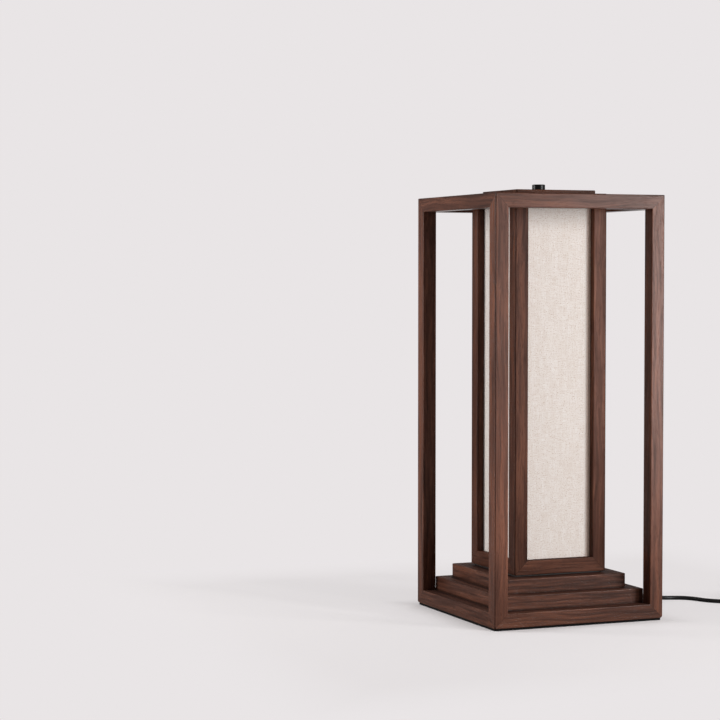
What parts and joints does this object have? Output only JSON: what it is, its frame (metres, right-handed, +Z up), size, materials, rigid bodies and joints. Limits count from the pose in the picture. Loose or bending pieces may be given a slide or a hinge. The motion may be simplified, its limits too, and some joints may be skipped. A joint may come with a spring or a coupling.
{
  "type": "andon floor lamp",
  "caption": "Floor lamp in the style of a Japanese andon: an open wooden cage round a slim linen-panelled light column on a stepped plinth, with a dimmer knob on top.",
  "frame": {"origin": "on the floor, under the middle of the square cage", "axes": "+Z up along the column; -Y is the front; the mains cord leaves through the bottom rail on the +X side"},
  "size_m": [0.5475, 0.26, 0.6103],
  "materials": {
    "stained_wood": "satin walnut stain with a fine open grain",
    "plate_wood": "satin walnut stain, flat board",
    "inner_board": "raw plywood, hidden inside the plinth",
    "dowel_wood": "raw fluted beech",
    "black_paint": "matt black",
    "foot_rubber": "matt",
    "screw_steel": "zinc plated",
    "black_screws": "black oxide",
    "linen": "plain weave with brown slubs, unlit",
    "opal_acrylic": "opal, fine matt surface",
    "mast_aluminium": "anodised",
    "strip_white": "white circuit strip",
    "driver_case": "white moulded case",
    "dimmer_case": "black moulded case",
    "nut_brass": "plain turned",
    "knob_black": "satin black",
    "grip_plastic": "natural nylon",
    "cord_black": "smooth matt sheath"
  },
  "bodies": {
    "frame": {"base_panel": "inner_board", "base_screws": "screw_steel", "bottom_cover": "black_paint", "cage_bottom_rail_front": "stained_wood", "cage_bottom_rail_left": "stained_wood", "cage_bottom_rail_rear": "stained_wood", "cage_bottom_rail_right": "stained_wood", "cage_post_front_left": "stained_wood", "cage_post_front_right": "stained_wood", "cage_post_rear_left": "stained_wood", "cage_post_rear_right": "stained_wood", "cage_top_rail_front": "stained_wood", "cage_top_rail_left": "stained_wood", "cage_top_rail_rear": "stained_wood", "cage_top_rail_right": "stained_wood", "column_bottom_rail_front": "stained_wood", "column_bottom_rail_left": "stained_wood", "column_bottom_rail_rear": "stained_wood", "column_bottom_rail_right": "stained_wood", "column_post_front_left": "stained_wood", "column_post_front_right": "stained_wood", "column_post_rear_left": "stained_wood", "column_post_rear_right": "stained_wood", "column_screws": "screw_steel", "column_spacers": "black_paint", "column_top_rail_front": "stained_wood", "column_top_rail_left": "stained_wood", "column_top_rail_rear": "stained_wood", "column_top_rail_right": "stained_wood", "cord_coil": "cord_black", "cord_gland": "cord_black", "cord_grip": "grip_plastic", "cord_run": "cord_black", "cover_screws": "screw_steel", "diffusers": "opal_acrylic", "dimmer_body": "dimmer_case", "dimmer_nut": "nut_brass", "dimmer_wire": "cord_black", "foot_pads": "foot_rubber", "inner_lead": "cord_black", "led_driver": "driver_case", "led_mast": "mast_aluminium", "led_strips": "strip_white", "linen_front": "linen", "linen_left": "linen", "linen_rear": "linen", "linen_right": "linen", "lower_tier_boards": "stained_wood", "mast_foot": "mast_aluminium", "mast_screws": "screw_steel", "mitre_dowels": "dowel_wood", "plate_screws": "black_screws", "plug": "cord_black", "plug_blades": "nut_brass", "top_plate": "plate_wood", "upper_tier_boards": "stained_wood"},
    "knob": {"knob": "knob_black", "dimmer_shaft": "nut_brass"}
  },
  "joints": [
    {"name": "dimmer_turn", "type": "hinge", "parent": "frame", "child": "knob", "pos_m": [0, 0, 0.605], "axis": [0, 0, -1], "range_deg": [0, 280]}
  ]
}
